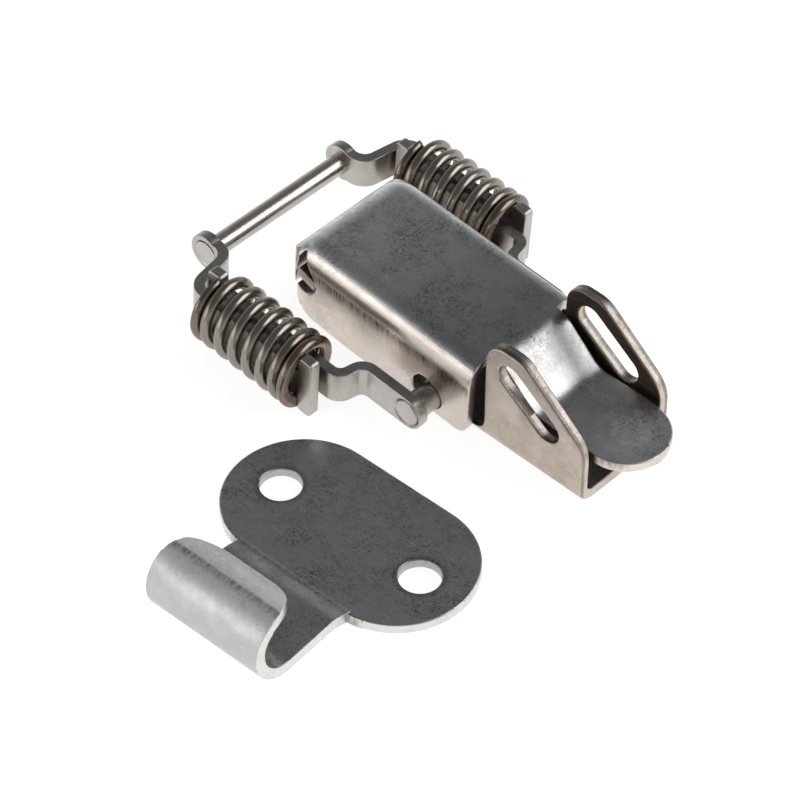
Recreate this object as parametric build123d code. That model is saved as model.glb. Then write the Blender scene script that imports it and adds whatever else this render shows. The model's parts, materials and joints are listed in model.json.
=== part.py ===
from build123d import *
import math
import os

# Toggle latch with a spring-loaded draw loop, and the catch plate it pulls against.
# Millimetres. The latch lies on its mounting plane z = 0, the draw bar towards -x, the thumb
# tongue towards +x. The origin is midway between the two screw holes of the base plate.

# Sheet metal
sheet = 2.0
screw_hole_d = 7.0
base_hole_pitch = 28.0

# Base plate: a channel with two padlock ears behind and two pivot arms in front
base_width = 21.2
base_bend = 3.4
base_front = -32.4
base_rear = 24.3
ear_front = 3.2
ear_top = 23.2
ear_front_round = 4.0
ear_top_round = 5.0
ear_slant_start = 10.9
ear_rear_top = 12.5
ear_rear_round = 6.0
ear_foot_front = -0.5
ear_foot_top = 2.4
ear_foot_round = 2.5
lock_slot_w = 5.2
lock_slot_l = 15.0
lock_slot_angle = -35.0
lock_slot_x = 12.5
lock_slot_z = 15.1
arm_rear = -19.5
arm_knee_x = -29.5
arm_knee_rise = 1.4
arm_knee_round = 8.0
arm_neck_drop = 1.4

# Lever pivot: flat tabs of the base turned outwards through the front corners of the lever
pivot_x = -36.0
pivot_z = 12.3
nose_d = 4.6
tab_length = 4.4
tab_edge = 0.5
tab_angle = 20.0
tab_inset = 0.3

# Lever: one folded sheet, sizes taken from the pivot with the lever laid level
lever_tilt = 4.0
lever_width = 25.8
lever_bend = 4.2
lever_corner = 3.8
lever_top = 7.7
lever_rear = 37.6
flange_drop = 8.3
flange_nose = -1.7
flange_nose_round = 4.5
flange_heel_round = 2.0
lip_front = -4.5
lip_bend = 6.0
lip_drop = 2.3
pivot_play = 0.3
corner_slit_x = -0.9
corner_slit_z = 5.4
corner_slit_w = 1.0
corner_reach = 4.0
strap_width = 15.4
strap_knee = 39.0
strap_knee_round = 5.0
strap_foot = 47.6
strap_foot_drop = 1.0
strap_foot_round = 6.0
tongue_tip = 68.0
tongue_tip_rise = 1.5
dish_depth = 0.5
dish_d = 11.6

# Rivets that hang the draw loop on the lever
rivet_x = -7.0
rivet_z = 5.25
rivet_d = 4.8
rivet_play = 0.1
rivet_slot_run = 1.7
rivet_slot_angle = 150.0
rivet_head_d = 5.8
rivet_head_t = 1.2
rivet_end_chamfer = 0.3
countersink = 0.45

# Draw loop, sizes taken from the rivet axis with the loop laid level
table_gap = 0.05
strip_h = 6.3
t_head_h = 12.3
t_head_l = 3.1
t_head_round = 0.8
inner_eye_y = 16.5
inner_run_y = 21.6
inner_joggle = 10.7
inner_joggle_lean = 0.9
inner_joggle_round = 2.3
strip_gap = 1.2
outer_eye_y = 15.2
outer_joggle_gap = 1.1
outer_joggle_lean = 1.5
outer_joggle_round = 3.0
bar_eye_d = 7.2
bar_eye_run = 4.6
bar_eye_tail = 1.8

# Springs
spring_od = 13.3
spring_wire = 2.1
wire_sides = 12
spring_length = 21.6
spring_start = 16.9
spring_lift = 0.33
closed_pitch = 2.15
active_half_turns = 10
rear_closed_half_turns = 3
front_closed_half_turns = 2

# Draw bar
bar_d = 3.8
bar_tenon_d = 3.0
bar_upset_d = 4.8
bar_upset_t = 0.9
bar_groove = 0.35

# Catch plate
catch_x = 2.4
catch_y = -41.2
catch_turn = 2.5
catch_hole_pitch = 30.0
catch_end_round = 13.6
catch_end_pitch = 20.2
hook_width = 23.4
hook_root = 13.0
hook_hump = 16.5
hook_hump_rise = 1.0
hook_hump_round = 4.0
hook_reach = 33.0
hook_height = 14.1
hook_foot_round = 6.2
hook_roll = 5.2
hook_droop = 37.0
hook_return = 23.0
hook_tip_round = 7.5

half_sheet = sheet / 2


# Shared makers
def side_solid(outline, width):
    """Extrudes a side outline drawn in x and z equally to both sides of the middle plane."""
    return extrude(Plane.XZ * outline, width / 2, both=True)


def polygon(points, rounds):
    """Makes a flat outline from its corners, each with the radius that rounds it."""
    return make_face(FilletPolyline(*points, radius=rounds, close=True))


def bent_strip(points, rounds, height, start_up):
    """Folds a flat strip along its middle line."""
    path = FilletPolyline(*points, radius=rounds)
    start = Plane(origin=path @ 0, x_dir=start_up, z_dir=path % 0)
    return sweep(start * Rectangle(height, sheet), path=path)


def cross_disc(radius, inner, outer, x=0.0, z=0.0):
    """A round disc across the latch, between two distances from the middle plane."""
    axis_plane = Plane(origin=(x, inner, z), x_dir=(1, 0, 0), z_dir=(0, 1, 0))
    return extrude(axis_plane * Circle(radius), outer - inner)


def turned(points):
    """Turns a profile of radius and distance along y about the y axis."""
    return revolve(make_face(Polyline(*points, close=True)), Axis.Y)


# Base plate
base_half = base_width / 2
base_inner = base_half - sheet
outer_u = Pos(0, ear_top) * Rectangle(base_width, 2 * ear_top)
outer_u = fillet(outer_u.vertices().group_by(Axis.Y)[0], base_bend)
inner_u = Pos(0, ear_top + sheet) * Rectangle(2 * base_inner, 2 * ear_top)
inner_u = fillet(inner_u.vertices().group_by(Axis.Y)[0], base_bend - sheet)
channel_plane = Plane.YZ.offset(pivot_x - nose_d)
channel = extrude(channel_plane * (outer_u - inner_u), base_rear - pivot_x + nose_d)

ear_points = [
    (ear_foot_front, 0),
    (base_rear, 0),
    (base_rear, ear_rear_top),
    (ear_slant_start, ear_top),
    (ear_front, ear_top),
    (ear_front, ear_foot_top),
    (ear_foot_front, ear_foot_top),
]
ear_rounds = [0, 0, ear_rear_round, ear_top_round, ear_front_round, ear_foot_round, 0]
ear_outline = polygon(ear_points, ear_rounds)
slot_place = Pos(lock_slot_x, lock_slot_z) * Rot(0, 0, lock_slot_angle)
slot_outline = slot_place * SlotOverall(lock_slot_l, lock_slot_w)
ear_outline = ear_outline - slot_outline

nose_r = nose_d / 2
arm_points = [
    (base_front, 0),
    (arm_rear, 0),
    (arm_rear, sheet),
    (arm_knee_x, pivot_z + arm_knee_rise),
    (pivot_x, pivot_z + nose_r),
    (pivot_x, pivot_z - nose_r),
    (base_front, pivot_z - arm_neck_drop),
]
arm_outline = polygon(arm_points, [0, 0, 0, arm_knee_round, 0, 0, 0])
arm_outline = arm_outline + Pos(pivot_x, pivot_z) * Circle(nose_r)
floor_length = base_rear - base_front
floor_outline = Pos((base_front + base_rear) / 2, half_sheet) * Rectangle(floor_length, sheet)
base_plate = channel & side_solid(ear_outline + arm_outline + floor_outline, base_width + 2)
waist_length = ear_foot_front - arm_rear
waist_x = (ear_foot_front + arm_rear) / 2
waist_cut = Pos(waist_x, base_half, base_bend) * Box(waist_length, 2 * base_bend, 4 * base_bend)
base_plate = base_plate - waist_cut - mirror(waist_cut, Plane.XZ)

tab_section = Rot(0, 0, -tab_angle) * RectangleRounded(tab_length, sheet, tab_edge)
tab_plane = Plane(origin=(pivot_x, -base_inner, pivot_z), x_dir=(1, 0, 0), z_dir=(0, -1, 0))
tab_reach = lever_width / 2 - tab_inset
tab = extrude(tab_plane * tab_section, tab_reach - base_inner)
base_plate = base_plate + tab + mirror(tab, Plane.XZ)
for hole_x in (-base_hole_pitch / 2, base_hole_pitch / 2):
    base_plate = base_plate - Pos(hole_x, 0, half_sheet) * Cylinder(screw_hole_d / 2, 2 * sheet)

# Lever
lever_half = lever_width / 2
lever_inner = lever_half - sheet
lip_inner = lip_front + sheet
skirt = flange_drop + sheet
hood_points = [
    (lip_front, lever_top),
    (lever_rear, lever_top),
    (lever_rear, -flange_drop),
    (flange_nose, -flange_drop),
    (flange_nose, -lip_drop),
    (lip_front, -lip_drop),
]
hood_outline = polygon(hood_points, [lip_bend, 0, flange_heel_round, flange_nose_round, 0, 0])
hollow_points = [
    (lip_inner, lever_top - sheet),
    (lever_rear + sheet, lever_top - sheet),
    (lever_rear + sheet, -skirt),
    (lip_inner, -skirt),
]
hollow_outline = polygon(hollow_points, [lip_bend - sheet, 0, 0, 0])
hood_height = lever_top + skirt
hood_section = Pos(0, lever_top - hood_height / 2) * Rectangle(lever_width, hood_height)
hood_section = fillet(hood_section.vertices().group_by(Axis.Y)[-1], lever_bend)
hollow_section = Pos(0, lever_top - sheet - hood_height / 2) * Rectangle(2 * lever_inner, hood_height)
hollow_section = fillet(hollow_section.vertices().group_by(Axis.Y)[-1], lever_bend - sheet)
section_plane = Plane.YZ.offset(2 * lip_front)
section_run = lever_rear - 3 * lip_front
hood = side_solid(hood_outline, lever_width + 2) & extrude(section_plane * hood_section, section_run)
hood_plan = Pos(lip_front + section_run, 0) * RectangleRounded(2 * section_run, lever_width, lever_corner)
hood = hood & extrude(hood_plan, 2 * skirt, both=True)
hollow = side_solid(hollow_outline, lever_width + 2) & extrude(section_plane * hollow_section, section_run)
hollow_plan = RectangleRounded(2 * section_run, 2 * lever_inner, lever_corner - sheet)
hollow = hollow & extrude(Pos(lip_inner + section_run, 0) * hollow_plan, 2 * skirt, both=True)
lever = hood - hollow

pivot_hole_r = nose_r + pivot_play
slit_top = Pos(corner_slit_x, corner_slit_z) * Circle(corner_slit_w / 2)
corner_outline = make_hull((Circle(pivot_hole_r) + slit_top).edges())
mouth_points = [
    (lip_inner, 0),
    (flange_nose, 0),
    (flange_nose, -flange_drop),
    (lip_inner, -flange_drop),
]
corner_outline = corner_outline + polygon(mouth_points, [0, 0, 0, 0])
corner_plane = Plane.XZ.offset(lever_half - corner_reach)
corner_cut = extrude(corner_plane * corner_outline, corner_reach)
lever = lever - corner_cut - mirror(corner_cut, Plane.XZ)

strap_points = [
    (lever_rear - 2 * lever_bend, 0, lever_top - half_sheet),
    (strap_knee, 0, lever_top - half_sheet),
    (strap_foot, 0, half_sheet - strap_foot_drop),
    (tongue_tip, 0, half_sheet - strap_foot_drop + tongue_tip_rise),
]
strap = bent_strip(strap_points, [strap_knee_round, strap_foot_round], strap_width, (0, 1, 0))
strap_r = strap_width / 2
plan_length = tongue_tip - strap_r - lever_rear + 2 * lever_bend
plan_outline = Pos(tongue_tip - strap_r - plan_length / 2, 0) * Rectangle(plan_length, strap_width)
plan_outline = plan_outline + Pos(tongue_tip - strap_r, 0) * Circle(strap_r)
strap = strap & extrude(plan_outline, 2 * lever_top, both=True)
dish_r = (dish_d**2 / 4 + dish_depth**2) / (2 * dish_depth)
tongue_slope = tongue_tip_rise / (tongue_tip - strap_foot)
dish_x = tongue_tip - strap_r
dish_z = half_sheet - strap_foot_drop + (dish_x - strap_foot) * tongue_slope
dish_place = Pos(dish_x, 0, dish_z) * Rot(0, -math.degrees(math.atan(tongue_slope)), 0)
dish_under = Pos(0, 0, -sheet - dish_depth) * Box(2 * dish_d, 2 * dish_d, sheet + 2 * dish_depth)
dish_bulge = Pos(0, 0, dish_r - half_sheet - dish_depth) * Sphere(dish_r) & dish_under
strap = strap + dish_place * dish_bulge
dish_hollow = Pos(0, 0, dish_r + half_sheet - dish_depth) * Sphere(dish_r)
dish_hollow = dish_hollow & Pos(0, 0, half_sheet) * Box(1.2 * dish_d, 1.2 * dish_d, 3 * dish_depth)
strap = strap - dish_place * dish_hollow
lever = lever + strap

lever_place = Pos(pivot_x, 0, pivot_z) * Rot(0, lever_tilt, 0)
lever = lever_place * lever
slot_turn = math.radians(rivet_slot_angle)
slot_end = (rivet_x + rivet_slot_run * math.cos(slot_turn), rivet_z + rivet_slot_run * math.sin(slot_turn))
rivet_hole_r = rivet_d / 2 + rivet_play
rivet_slot = Pos(rivet_x, rivet_z) * Circle(rivet_hole_r) + Pos(*slot_end) * Circle(rivet_hole_r)
rivet_slot = make_hull(rivet_slot.edges())
lever = lever - side_solid(rivet_slot, lever_width + 2)

# Rivets
rivet_r = rivet_d / 2
eye_out_y = inner_eye_y + sheet
rivet_head_y = lever_inner - rivet_play
rivet_points = [
    (0, rivet_head_y - rivet_head_t),
    (rivet_head_d / 2, rivet_head_y - rivet_head_t),
    (rivet_head_d / 2, rivet_head_y),
    (rivet_r, rivet_head_y),
    (rivet_r, eye_out_y - rivet_end_chamfer),
    (rivet_r - rivet_end_chamfer, eye_out_y),
    (0, eye_out_y),
]
link_rivet = Pos(rivet_x, 0, rivet_z) * turned(rivet_points)

# Draw loop: leans on the table with the rear ends of its springs, which hang a little off the links' middle
spring_r = spring_od / 2
loop_tilt = math.degrees(math.asin((spring_r + table_gap - spring_lift - rivet_z) / spring_start))
loop_place = Pos(rivet_x, 0, rivet_z) * Rot(0, loop_tilt, 0)
strip_r = strip_h / 2
inner_mid = inner_run_y + half_sheet
outer_mid = inner_mid + sheet + strip_gap
spring_y = (inner_mid + outer_mid) / 2
spring_end = spring_start + spring_length

# Lever links
inner_points = [
    (0, inner_eye_y + half_sheet, 0),
    (-inner_joggle, inner_eye_y + half_sheet, 0),
    (-inner_joggle - inner_joggle_lean, inner_mid, 0),
    (-spring_end - t_head_l, inner_mid, 0),
]
lever_link = bent_strip(inner_points, [inner_joggle_round, inner_joggle_round], strip_h, (0, 0, 1))
lever_link = lever_link + cross_disc(strip_r, inner_eye_y, eye_out_y)
inner_head = Pos(-spring_end - t_head_l / 2, 0) * RectangleRounded(t_head_l, t_head_h, t_head_round)
inner_head_plane = Plane(origin=(0, inner_run_y + sheet, 0), x_dir=(1, 0, 0), z_dir=(0, -1, 0))
lever_link = lever_link + extrude(inner_head_plane * inner_head, sheet)
eye_points = [
    (0, inner_eye_y),
    (rivet_r, inner_eye_y),
    (rivet_r, eye_out_y - countersink),
    (rivet_r + countersink, eye_out_y),
    (0, eye_out_y),
]
lever_link = loop_place * (lever_link - turned(eye_points))

# Bar links
bar_eye_out = outer_eye_y + sheet
outer_joggle = spring_end + t_head_l + outer_joggle_gap + outer_joggle_lean
bar_reach = outer_joggle + bar_eye_run
outer_points = [
    (-bar_reach, outer_eye_y + half_sheet, 0),
    (-outer_joggle, outer_eye_y + half_sheet, 0),
    (-outer_joggle + outer_joggle_lean, outer_mid, 0),
    (-spring_start + t_head_l, outer_mid, 0),
]
bar_link = bent_strip(outer_points, [outer_joggle_round, outer_joggle_round], strip_h, (0, 0, 1))
bar_eye = cross_disc(bar_eye_d / 2, outer_eye_y, bar_eye_out, -bar_reach)
bar_link = bar_link + (bar_eye & Pos(bar_eye_tail - bar_reach - bar_eye_d, 0, 0) * Box(2 * bar_eye_d, 50, 50))
outer_head = Pos(-spring_start + t_head_l / 2, 0) * RectangleRounded(t_head_l, t_head_h, t_head_round)
outer_head_plane = Plane(origin=(0, outer_mid + half_sheet, 0), x_dir=(1, 0, 0), z_dir=(0, -1, 0))
bar_link = bar_link + extrude(outer_head_plane * outer_head, sheet)
bar_eye_points = [
    (0, outer_eye_y),
    (bar_tenon_d / 2, outer_eye_y),
    (bar_tenon_d / 2, bar_eye_out - bar_upset_t),
    (bar_upset_d / 2 + bar_groove, bar_eye_out),
    (0, bar_eye_out),
]
bar_link = loop_place * (bar_link - Pos(-bar_reach, 0, 0) * turned(bar_eye_points))

# Springs: round wire bent in half turns, the end turns closed and ground flat, both wound to the same hand
coil_r = spring_r - spring_wire / 2
closed_half_turns = rear_closed_half_turns + front_closed_half_turns
active_rise = (spring_length - closed_half_turns * closed_pitch / 2) / active_half_turns
half_rises = rear_closed_half_turns * [closed_pitch / 2]
half_rises = half_rises + active_half_turns * [active_rise]
half_rises = half_rises + front_closed_half_turns * [closed_pitch / 2]
coil_x = -spring_start
coil_side = -1
coil_arcs = []
for rise in half_rises:
    crest_r = math.hypot(coil_r, rise / 2)
    arc_start = (coil_x, 0, coil_side * coil_r)
    arc_crest = (coil_x - rise / 2, coil_side * crest_r, 0)
    arc_end = (coil_x - rise, 0, -coil_side * coil_r)
    coil_arcs.append(ThreePointArc(arc_start, arc_crest, arc_end))
    coil_x = coil_x - rise
    coil_side = -coil_side
coil = Wire(coil_arcs)
wire_section = Plane(origin=coil @ 0, z_dir=coil % 0) * RegularPolygon(spring_wire / 2, wire_sides)
ground_ends = Pos(-spring_start - spring_length / 2, 0, 0) * Box(spring_length, 2 * spring_od, 2 * spring_od)
spring = Pos(0, 0, spring_lift) * (sweep(wire_section, path=coil) & ground_ends)
spring_left = loop_place * Pos(0, spring_y, 0) * spring
spring_right = loop_place * Pos(0, -spring_y, 0) * spring

# Draw bar
bar_points = [
    (0, -bar_eye_out),
    (bar_upset_d / 2, -bar_eye_out),
    (bar_tenon_d / 2, -bar_eye_out + bar_upset_t),
    (bar_tenon_d / 2, -outer_eye_y),
    (bar_d / 2, -outer_eye_y),
    (bar_d / 2, outer_eye_y),
    (bar_tenon_d / 2, outer_eye_y),
    (bar_tenon_d / 2, bar_eye_out - bar_upset_t),
    (bar_upset_d / 2, bar_eye_out),
    (0, bar_eye_out),
]
draw_bar = loop_place * Pos(-bar_reach, 0, 0) * turned(bar_points)

# Catch plate
end_offset = catch_end_pitch / 2
hook_half = hook_width / 2
plate_outline = Rectangle(catch_end_pitch, 2 * catch_end_round)
plate_outline = plate_outline + Pos(end_offset, 0) * Circle(catch_end_round)
plate_outline = plate_outline + Pos(-end_offset, 0) * Circle(catch_end_round)
for hole_x in (-catch_hole_pitch / 2, catch_hole_pitch / 2):
    plate_outline = plate_outline - Pos(hole_x, 0) * Circle(screw_hole_d / 2)
catch_plate = extrude(plate_outline, sheet)
roll_turn = math.tan(math.radians(45 + hook_droop / 2))
hook_end_run = (hook_reach - hook_return) / math.cos(math.radians(hook_droop))
roll_r = min(hook_roll, (hook_end_run - half_sheet) / roll_turn)
roll_peak = hook_height - half_sheet + roll_r * (roll_turn - 1)
hook_tip_z = roll_peak - (hook_reach - hook_return) * math.tan(math.radians(hook_droop))
hook_points = [
    (0, -hook_root + catch_end_round / 2, half_sheet),
    (0, -hook_root, half_sheet),
    (0, -hook_hump, half_sheet + hook_hump_rise),
    (0, -hook_reach, half_sheet),
    (0, -hook_reach, roll_peak),
    (0, -hook_return, hook_tip_z),
]
hook_rounds = [hook_hump_round, hook_hump_round, hook_foot_round, roll_r]
hook = bent_strip(hook_points, hook_rounds, hook_width, (1, 0, 0))
tip_zone = Box(2 * hook_width, 2 * hook_tip_round, hook_height)
tip_zone = Pos(0, -hook_return, hook_height) * tip_zone
tip_keep = RectangleRounded(hook_width, 4 * hook_tip_round, hook_tip_round)
tip_edge = -hook_return + half_sheet * math.sin(math.radians(hook_droop))
tip_keep = Pos(0, tip_edge - 2 * hook_tip_round) * tip_keep
hook = hook - (tip_zone - extrude(tip_keep, 2 * hook_height))
catch_plate = Pos(catch_x, catch_y, 0) * Rot(0, 0, catch_turn) * (catch_plate + hook)

# Files
os.makedirs("parts", exist_ok=True)
nodes = {
    "base_plate": base_plate,
    "lever": lever,
    "link_rivet_left": link_rivet,
    "link_rivet_right": mirror(link_rivet, Plane.XZ),
    "lever_link_left": lever_link,
    "lever_link_right": mirror(lever_link, Plane.XZ),
    "bar_link_left": bar_link,
    "bar_link_right": mirror(bar_link, Plane.XZ),
    "spring_left": spring_left,
    "spring_right": spring_right,
    "draw_bar": draw_bar,
    "catch_plate": catch_plate,
}
for name, solid in nodes.items():
    export_step(solid, "parts/" + name + ".step")
    box = solid.bounding_box()
    print(name, len(solid.solids()), round(solid.volume, 1), box.min, box.max)
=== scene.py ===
import json
import math

import bmesh
import bpy
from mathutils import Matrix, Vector


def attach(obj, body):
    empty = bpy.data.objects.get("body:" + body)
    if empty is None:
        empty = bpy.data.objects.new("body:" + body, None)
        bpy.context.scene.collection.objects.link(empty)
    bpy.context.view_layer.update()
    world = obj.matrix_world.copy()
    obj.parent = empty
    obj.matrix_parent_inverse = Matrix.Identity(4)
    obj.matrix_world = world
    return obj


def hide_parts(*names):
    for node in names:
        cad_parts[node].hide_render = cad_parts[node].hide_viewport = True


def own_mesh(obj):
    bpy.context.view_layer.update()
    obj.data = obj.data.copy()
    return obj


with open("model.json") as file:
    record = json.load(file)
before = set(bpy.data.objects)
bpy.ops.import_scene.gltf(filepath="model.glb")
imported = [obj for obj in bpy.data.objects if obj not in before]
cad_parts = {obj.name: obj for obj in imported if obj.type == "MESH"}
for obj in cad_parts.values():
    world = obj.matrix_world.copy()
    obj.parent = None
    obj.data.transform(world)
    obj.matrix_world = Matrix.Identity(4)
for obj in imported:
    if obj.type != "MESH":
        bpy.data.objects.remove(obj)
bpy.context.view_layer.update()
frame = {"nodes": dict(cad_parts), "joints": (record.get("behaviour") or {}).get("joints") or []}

# Base plate
# The part that is screwed to the box: one piece of 2 mm stainless sheet, sheared and folded into a channel.
# Its walls stand up behind as padlock ears, and two tabs in front carry the lever. Tumbled after folding.
MM = 0.001
SIDES = (("left", 1), ("right", -1))
SHEARED_EASE = 0.35 * MM
BASE_HOLES_X = (-14.0 * MM, 12.5 * MM, 14.0 * MM)
EAR_TORN_Y = 9.7 * MM
WALL_OUTSIDE_Y = 10.6 * MM
WALL_PLAY = 0.02 * MM
FLOOR_TOP = 2.0 * MM
FLOOR_FOLD_Y = 7.2 * MM
FLOOR_FOLD_R = 3.4 * MM
FLOOR_FOLD_STEPS = 8
FOLD_FRONT_X = -19.5 * MM
FOLD_REAR_X = -0.5 * MM

# Sizes of the marks that tumbling and folding leave, a little coarser than real so that they show
CLOUD_SIZE = 4 * MM
CLOUD_ROUGHER = 0.08
CLOUD_SMOOTHER = 0.06
STAIN_SIZE = 7 * MM
WEB_SIZE = 1.0 * MM
WEB_RELIEF = 0.8
GRAIN_SIZE = 0.25 * MM
GRAIN_DEPTH = 0.05 * MM
HAIR_SIZES = (0.4 * MM, 1.5 * MM, 2.5 * MM)
CREASE_SHARE = 0.3
TORN_WAVE = 0.5 * MM
TORN_START = 0.15 * MM
TORN_FULL = 0.35 * MM

# Each set of scratches: its angle on the sheet in radians, and the length and width of a scratch.
# They are tilted a little, by the lean and the tip, so that they run on over the flanks.
SCRATCH_SETS = ((0.5, 7 * MM, 0.14 * MM), (-0.8, 5 * MM, 0.16 * MM))
SCRATCH_LEAN = 0.3
SCRATCH_TIP = 0.2
SCRATCH_COLOUR = "#e4e2df"

# How edges are rounded: the turns between faces that count as sharp, folded back or flat, and tolerances
ROUND_TURN = math.radians(50)
SHARP_TURN = math.radians(35)
FOLDED_TURN = math.radians(175)
FLAT_TURN = math.radians(0.5)
EASE_RAYS = 6
EASE_STEPS = 3
EASE_TRIES = 8
OVERLAP = 0.02 * MM * MM
FAULT_REACH = 3 * MM
NEAR_EASES = 2.5
SAME_WAY = 0.99
SLIVER = 0.03 * MM
CUT_TOLERANCE = 0.001 * MM


def linear(hex_colour):
    """Turns an sRGB hex colour into the linear values that a shader takes."""
    parts = [int(hex_colour[i:i + 2], 16) / 255 for i in (1, 3, 5)]
    parts = [p / 12.92 if p <= 0.04045 else ((p + 0.055) / 1.055) ** 2.4 for p in parts]
    return (*parts, 1.0)


def add(tree, kind, properties=None, values=None, links=None):
    """Adds a node to a shader, with its properties, its socket values and the sockets that feed it."""
    node = tree.nodes.new(kind)
    for name, value in (properties or {}).items():
        setattr(node, name, value)
    for socket, value in (values or {}).items():
        node.inputs[socket].default_value = value
    for socket, source in (links or {}).items():
        tree.links.new(source, node.inputs[socket])
    return node


def crossed_scratches(tree, place):
    """Gives the share of bright scratch at each point: two sets of fine scratches that cross each other."""
    marks = []
    for angle, length, width in SCRATCH_SETS:
        turned = add(tree, "ShaderNodeMapping",
                     values={"Rotation": (SCRATCH_LEAN * angle, SCRATCH_TIP, angle),
                             "Scale": (1 / length, 1 / width, 1 / width)},
                     links={"Vector": place})
        streak = add(tree, "ShaderNodeTexNoise", values={"Scale": 1.0, "Detail": 2.0, "Roughness": 0.5},
                     links={"Vector": turned.outputs["Vector"]})
        marks.append(add(tree, "ShaderNodeMapRange",
                         values={"From Min": 0.66, "From Max": 0.76, "To Min": 0.0, "To Max": 0.5},
                         links={"Value": streak.outputs["Fac"]}))
    both = add(tree, "ShaderNodeMath", {"operation": "MAXIMUM"},
               links={0: marks[0].outputs["Result"], 1: marks[1].outputs["Result"]})
    return both.outputs["Value"]


def rub_and_shade_line(tree, place, facing, way, line, reach, strength, flanks_only):
    """Gives the share of staining along a line, with a streaked fringe below it; it draws rub marks from
    folding and also painted shade along folds and creases.

    The line lies across the direction in way, at the place in line along it; its fringe fades over reach.
    """
    across_line = add(tree, "ShaderNodeVectorMath", {"operation": "DOT_PRODUCT"}, {1: way}, {0: place})
    off_line = add(tree, "ShaderNodeMath", {"operation": "SUBTRACT"}, {1: line},
                   {0: across_line.outputs["Value"]})
    fringe = add(tree, "ShaderNodeMapRange", {"interpolation_type": "SMOOTHSTEP"},
                 {"From Min": -reach, "From Max": 0.0, "To Max": strength},
                 {"Value": off_line.outputs["Value"]})
    crease = add(tree, "ShaderNodeMapRange", {"interpolation_type": "SMOOTHSTEP"},
                 {"From Min": 0.0, "From Max": CREASE_SHARE * reach, "To Min": 1.0, "To Max": 0.0},
                 {"Value": off_line.outputs["Value"]})
    drawn = add(tree, "ShaderNodeMapping", values={"Scale": tuple(1 / size for size in HAIR_SIZES)},
                links={"Vector": place})
    hairs = add(tree, "ShaderNodeTexNoise", values={"Scale": 1.0, "Detail": 4.0, "Roughness": 0.65},
                links={"Vector": drawn.outputs["Vector"]})
    hair_share = add(tree, "ShaderNodeMapRange",
                     values={"From Min": 0.38, "From Max": 0.62, "To Min": 0.3, "To Max": 1.0},
                     links={"Value": hairs.outputs["Fac"]})
    rub = add(tree, "ShaderNodeMath", {"operation": "MULTIPLY"},
              links={0: fringe.outputs["Result"], 1: crease.outputs["Result"]})
    streaked = add(tree, "ShaderNodeMath", {"operation": "MULTIPLY"},
                   links={0: rub.outputs["Value"], 1: hair_share.outputs["Result"]})
    if not flanks_only:
        return streaked.outputs["Value"]
    sideways = add(tree, "ShaderNodeMath", {"operation": "ABSOLUTE"}, links={0: facing.outputs["Y"]})
    side_mask = add(tree, "ShaderNodeMapRange", {"interpolation_type": "SMOOTHSTEP"},
                    {"From Min": 0.6, "From Max": 0.95}, {"Value": sideways.outputs["Value"]})
    on_flank = add(tree, "ShaderNodeMath", {"operation": "MULTIPLY"},
                   links={0: streaked.outputs["Value"], 1: side_mask.outputs["Result"]})
    return on_flank.outputs["Value"]


def sheared_band(tree, where, facing, flecks, torn_y):
    """Gives the level on sheared edges: a bright cut half, and a dark torn half from torn_y outwards."""
    across_sheet = add(tree, "ShaderNodeMath", {"operation": "ABSOLUTE"}, links={0: facing.outputs["Y"]})
    cut = add(tree, "ShaderNodeMapRange",
              values={"From Min": 0.3, "From Max": 0.6, "To Min": 1.0, "To Max": 0.0},
              links={"Value": across_sheet.outputs["Value"]})
    off_middle = add(tree, "ShaderNodeMath", {"operation": "ABSOLUTE"}, links={0: where.outputs["Y"]})
    wavy = add(tree, "ShaderNodeMath", {"operation": "MULTIPLY_ADD"}, {1: TORN_WAVE},
               {0: flecks.outputs["Fac"], 2: off_middle.outputs["Value"]})
    torn = add(tree, "ShaderNodeMapRange",
               values={"From Min": torn_y + TORN_START, "From Max": torn_y + TORN_FULL,
                       "To Min": 0.15, "To Max": -0.45},
               links={"Value": wavy.outputs["Value"]})
    sheared = add(tree, "ShaderNodeMath", {"operation": "MULTIPLY_ADD"}, {2: 1.0},
                  {0: cut.outputs["Result"], 1: torn.outputs["Result"]})
    return sheared.outputs["Value"]


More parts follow.
